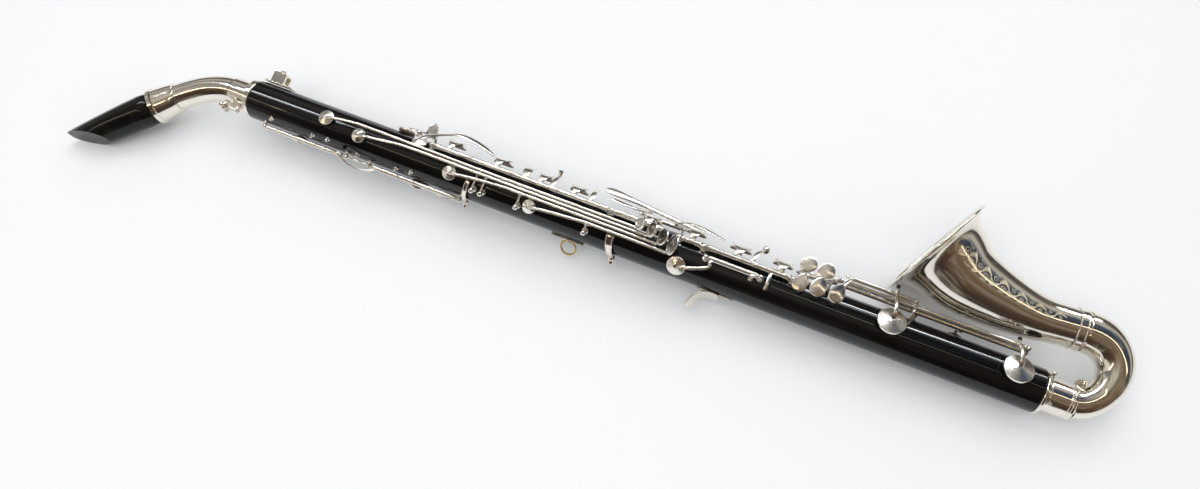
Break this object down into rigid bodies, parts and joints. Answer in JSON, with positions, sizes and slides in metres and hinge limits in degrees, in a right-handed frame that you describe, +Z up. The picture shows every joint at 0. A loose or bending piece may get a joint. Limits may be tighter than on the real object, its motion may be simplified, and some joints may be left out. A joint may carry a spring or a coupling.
{
  "type": "alto clarinet",
  "caption": "Alto clarinet with a straight black body, silver-plated keywork, bent metal neck, black mouthpiece and a bow that turns up into a flared bell.",
  "frame": {"origin": "middle of the footprint of the instrument lying on its left side, on the surface it lies on", "axes": "+X along the body from the neck towards the bell, +Y towards the front of the instrument, where the bell opens, +Z up out of the surface"},
  "size_m": [0.8142, 0.1842, 0.0865],
  "materials": {
    "silver": "polished silver or nickel plate over brass",
    "black_body": "glossy black, highly polished",
    "hard_rubber": "polished black hard rubber",
    "ring_brass": "bare polished brass",
    "cork": "bare tenon cork, greased"
  },
  "bodies": {
    "frame": {"body_tube": "black_body", "neck_receiver": "silver", "body_end_ring": "silver", "bell_socket": "silver", "bell_bow": "silver", "bow_ring": "silver", "bell": "silver", "lyre_socket": "silver", "strap_plate": "silver", "thumb_rest": "silver", "side_key_1_pivot": "silver", "side_key_2_pivot": "silver", "side_key_3_pivot": "silver", "side_key_4_pivot": "silver", "lever_guide_upper": "silver", "lever_guide_lower": "silver", "upper_stack_rod": "silver", "throat_gsharp_pivot": "silver", "throat_a_pivot": "silver", "lower_stack_rod": "silver", "side_f_rod": "silver", "left_pinky_rods": "silver", "right_pinky_rods_outer": "silver", "right_pinky_rods_inner": "silver", "right_pinky_rod_short": "silver", "low_csharp_rod": "silver", "register_rod": "silver", "thumb_rod": "silver"},
    "neck": {"neck": "silver"},
    "mouthpiece": {"mouthpiece": "hard_rubber", "mouthpiece_cork": "cork"},
    "neck_clamp_screw": {"neck_clamp_screw": "silver"},
    "lyre_screw": {"lyre_screw": "silver"},
    "strap_ring": {"strap_ring": "ring_brass"},
    "side_key_1": {"side_key_1": "silver"},
    "side_key_2": {"side_key_2": "silver"},
    "side_key_3": {"side_key_3": "silver"},
    "side_key_4": {"side_key_4": "silver"},
    "left_index_key": {"left_index_key": "silver"},
    "left_middle_key": {"left_middle_key": "silver"},
    "left_ring_key": {"left_ring_key": "silver"},
    "upper_vent_key": {"upper_vent_key": "silver"},
    "right_index_key": {"right_index_key": "silver"},
    "right_middle_key": {"right_middle_key": "silver"},
    "right_ring_key": {"right_ring_key": "silver"},
    "gsharp_key": {"gsharp_key": "silver"},
    "throat_gsharp_key": {"throat_gsharp_key": "silver"},
    "throat_a_key": {"throat_a_key": "silver"},
    "side_f_key": {"side_f_key": "silver"},
    "left_pinky_lever_1": {"left_pinky_lever_1": "silver"},
    "left_pinky_lever_2": {"left_pinky_lever_2": "silver"},
    "right_pinky_key_1": {"right_pinky_key_1": "silver"},
    "right_pinky_key_2": {"right_pinky_key_2": "silver"},
    "right_pinky_key_3": {"right_pinky_key_3": "silver"},
    "right_pinky_key_4": {"right_pinky_key_4": "silver"},
    "right_pinky_key_5": {"right_pinky_key_5": "silver"},
    "low_csharp_key": {"low_csharp_key": "silver"},
    "register_key": {"register_key": "silver"},
    "register_thumb_lever": {"register_thumb_lever": "silver"},
    "thumb_key": {"thumb_key": "silver"}
  },
  "joints": [
    {"name": "neck_turn", "type": "hinge", "parent": "frame", "child": "neck", "pos_m": [-0.26141, -0.01377, 0.03068], "axis": [0.9999, 0, -0.0138], "range_deg": [-15, 15]},
    {"name": "mouthpiece_turn", "type": "hinge", "parent": "neck", "child": "mouthpiece", "pos_m": [-0.34354, -0.04754, 0.02186], "axis": [-0.7316, -0.6566, -0.1836], "range_deg": [-90, 90]},
    {"name": "neck_clamp_screw_turn", "type": "hinge", "parent": "frame", "child": "neck_clamp_screw", "pos_m": [-0.27734, -0.03092, 0.03568], "axis": [0.9999, 0, -0.0138], "range_deg": [-180, 180]},
    {"name": "lyre_screw_turn", "type": "hinge", "parent": "frame", "child": "lyre_screw", "pos_m": [-0.2513, 0.01212, 0.03818], "axis": [0.0039, 0.9591, 0.2829], "range_deg": [-180, 180]},
    {"name": "strap_ring_swing", "type": "hinge", "parent": "frame", "child": "strap_ring", "pos_m": [0.01691, -0.02795, 0.01559], "axis": [0.9999, 0, -0.0138], "range_deg": [-30, 40]},
    {"name": "side_key_1_press", "type": "hinge", "parent": "frame", "child": "side_key_1", "pos_m": [-0.06077, -0.01335, 0.04629], "axis": [0.0039, 0.9591, 0.2829], "range_deg": [0, 1.3], "stiffness_Nm_per_rad": 0.03, "springref_deg": -17.19},
    {"name": "side_key_2_press", "type": "hinge", "parent": "frame", "child": "side_key_2", "pos_m": [-0.05359, -0.01614, 0.04537], "axis": [0.0039, 0.9591, 0.2829], "range_deg": [0, 1.6], "stiffness_Nm_per_rad": 0.03, "springref_deg": -17.19},
    {"name": "side_key_3_press", "type": "hinge", "parent": "frame", "child": "side_key_3", "pos_m": [-0.0245, -0.01901, 0.04412], "axis": [0.0039, 0.9591, 0.2829], "range_deg": [0, 2], "stiffness_Nm_per_rad": 0.03, "springref_deg": -17.19},
    {"name": "side_key_4_press", "type": "hinge", "parent": "frame", "child": "side_key_4", "pos_m": [0.02948, -0.02218, 0.04244], "axis": [0.0039, 0.9591, 0.2829], "range_deg": [0, 2.5], "stiffness_Nm_per_rad": 0.03, "springref_deg": -17.19},
    {"name": "left_index_key_press", "type": "hinge", "parent": "frame", "child": "left_index_key", "pos_m": [-0.10158, -0.00622, 0.04581], "axis": [0.9999, 0, -0.0138], "range_deg": [-11, 0], "stiffness_Nm_per_rad": 0.03, "springref_deg": 17.19},
    {"name": "left_middle_key_press", "type": "hinge", "parent": "frame", "child": "left_middle_key", "pos_m": [-0.07089, -0.00622, 0.04538], "axis": [0.9999, 0, -0.0138], "range_deg": [-11, 0], "stiffness_Nm_per_rad": 0.03, "springref_deg": 17.19},
    {"name": "left_ring_key_press", "type": "hinge", "parent": "frame", "child": "left_ring_key", "pos_m": [-0.03689, -0.00622, 0.04491], "axis": [0.9999, 0, -0.0138], "range_deg": [-11, 0], "stiffness_Nm_per_rad": 0.03, "springref_deg": 17.19},
    {"name": "upper_vent_key_press", "type": "hinge", "parent": "frame", "child": "upper_vent_key", "pos_m": [0.00011, -0.00622, 0.0444], "axis": [0.9999, 0, -0.0138], "range_deg": [-11, 0], "stiffness_Nm_per_rad": 0.03, "springref_deg": 17.19},
    {"name": "right_index_key_press", "type": "hinge", "parent": "frame", "child": "right_index_key", "pos_m": [0.0974, -0.00748, 0.04345], "axis": [0.9999, 0, -0.0138], "range_deg": [-11, 0], "stiffness_Nm_per_rad": 0.03, "springref_deg": 17.19},
    {"name": "right_middle_key_press", "type": "hinge", "parent": "frame", "child": "right_middle_key", "pos_m": [0.1166, -0.00748, 0.04319], "axis": [0.9999, 0, -0.0138], "range_deg": [-11, 0], "stiffness_Nm_per_rad": 0.03, "springref_deg": 17.19},
    {"name": "right_ring_key_press", "type": "hinge", "parent": "frame", "child": "right_ring_key", "pos_m": [0.1509, -0.00748, 0.04272], "axis": [0.9999, 0, -0.0138], "range_deg": [-11, 0], "stiffness_Nm_per_rad": 0.03, "springref_deg": 17.19},
    {"name": "gsharp_key_lift", "type": "hinge", "parent": "frame", "child": "gsharp_key", "pos_m": [0.0448, -0.00622, 0.04379], "axis": [0.9999, 0, -0.0138], "range_deg": [0, 7], "stiffness_Nm_per_rad": 0.03, "springref_deg": -17.19},
    {"name": "throat_gsharp_press", "type": "hinge", "parent": "frame", "child": "throat_gsharp_key", "pos_m": [-0.12284, 0.00503, 0.03432], "axis": [0.0132, -0.2829, 0.9591], "range_deg": [-8, 0], "stiffness_Nm_per_rad": 0.03, "springref_deg": 17.19},
    {"name": "throat_a_press", "type": "hinge", "parent": "frame", "child": "throat_a_key", "pos_m": [-0.10662, 0.00122, 0.04325], "axis": [-0.0098, 0.7001, -0.714], "range_deg": [0, 4], "stiffness_Nm_per_rad": 0.03, "springref_deg": -17.19},
    {"name": "side_f_press", "type": "hinge", "parent": "frame", "child": "side_f_key", "pos_m": [0.12001, -0.01523, 0.04417], "axis": [0.9999, 0, -0.0138], "range_deg": [-8, 0], "stiffness_Nm_per_rad": 0.03, "springref_deg": 17.19},
    {"name": "left_pinky_lever_1_press", "type": "hinge", "parent": "frame", "child": "left_pinky_lever_1", "pos_m": [0.06165, 0.01245, 0.01791], "axis": [0.9999, 0, -0.0138], "range_deg": [-8, 0], "stiffness_Nm_per_rad": 0.03, "springref_deg": 17.19},
    {"name": "left_pinky_lever_2_press", "type": "hinge", "parent": "frame", "child": "left_pinky_lever_2", "pos_m": [0.06171, 0.00994, 0.02217], "axis": [0.9999, 0, -0.0138], "range_deg": [-8, 0], "stiffness_Nm_per_rad": 0.03, "springref_deg": 17.19},
    {"name": "right_pinky_key_1_press", "type": "hinge", "parent": "frame", "child": "right_pinky_key_1", "pos_m": [0.21381, 0.00763, 0.04348], "axis": [0.9999, 0, -0.0138], "range_deg": [0, 7], "stiffness_Nm_per_rad": 0.03, "springref_deg": -17.19},
    {"name": "right_pinky_key_2_press", "type": "hinge", "parent": "frame", "child": "right_pinky_key_2", "pos_m": [0.20538, 0.00479, 0.04119], "axis": [0.9999, 0, -0.0138], "range_deg": [0, 7], "stiffness_Nm_per_rad": 0.03, "springref_deg": -17.19},
    {"name": "right_pinky_key_3_press", "type": "hinge", "parent": "frame", "child": "right_pinky_key_3", "pos_m": [0.18232, 0.00357, 0.03719], "axis": [0.9999, 0, -0.0138], "range_deg": [-8, 0], "stiffness_Nm_per_rad": 0.03, "springref_deg": 17.19},
    {"name": "right_pinky_key_4_press", "type": "hinge", "parent": "frame", "child": "right_pinky_key_4", "pos_m": [0.19528, 0.00761, 0.03424], "axis": [0.9999, 0, -0.0138], "range_deg": [-8, 0], "stiffness_Nm_per_rad": 0.03, "springref_deg": 17.19},
    {"name": "right_pinky_key_5_press", "type": "hinge", "parent": "frame", "child": "right_pinky_key_5", "pos_m": [0.1806, -0.0011, 0.04241], "axis": [0.9999, 0, -0.0138], "range_deg": [0, 8], "stiffness_Nm_per_rad": 0.03, "springref_deg": -17.19},
    {"name": "low_csharp_lift", "type": "hinge", "parent": "frame", "child": "low_csharp_key", "pos_m": [0.21286, -0.01398, 0.00354], "axis": [0.9999, 0, -0.0138], "range_deg": [-8, 0], "stiffness_Nm_per_rad": 0.03, "springref_deg": 17.19},
    {"name": "register_lift", "type": "hinge", "parent": "frame", "child": "register_key", "pos_m": [-0.24264, -0.03236, 0.02833], "axis": [0.9999, 0, -0.0138], "range_deg": [-8, 0], "stiffness_Nm_per_rad": 0.03, "springref_deg": 17.19},
    {"name": "register_thumb_press", "type": "hinge", "parent": "frame", "child": "register_thumb_lever", "pos_m": [-0.14625, -0.03236, 0.027], "axis": [0.9999, 0, -0.0138], "range_deg": [0, 8], "stiffness_Nm_per_rad": 0.03, "springref_deg": -17.19},
    {"name": "thumb_key_press", "type": "hinge", "parent": "frame", "child": "thumb_key", "pos_m": [-0.12708, -0.01495, 0.00997], "axis": [0.9999, 0, -0.0138], "range_deg": [-8, 0], "stiffness_Nm_per_rad": 0.03, "springref_deg": 17.19}
  ],
  "couplings": [
    {"joint": "register_lift", "follows": "register_thumb_press", "ratio": -1},
    {"joint": "low_csharp_lift", "follows": "left_pinky_lever_1_press", "ratio": 1},
    {"joint": "gsharp_key_lift", "follows": "left_pinky_lever_2_press", "ratio": -0.875}
  ]
}
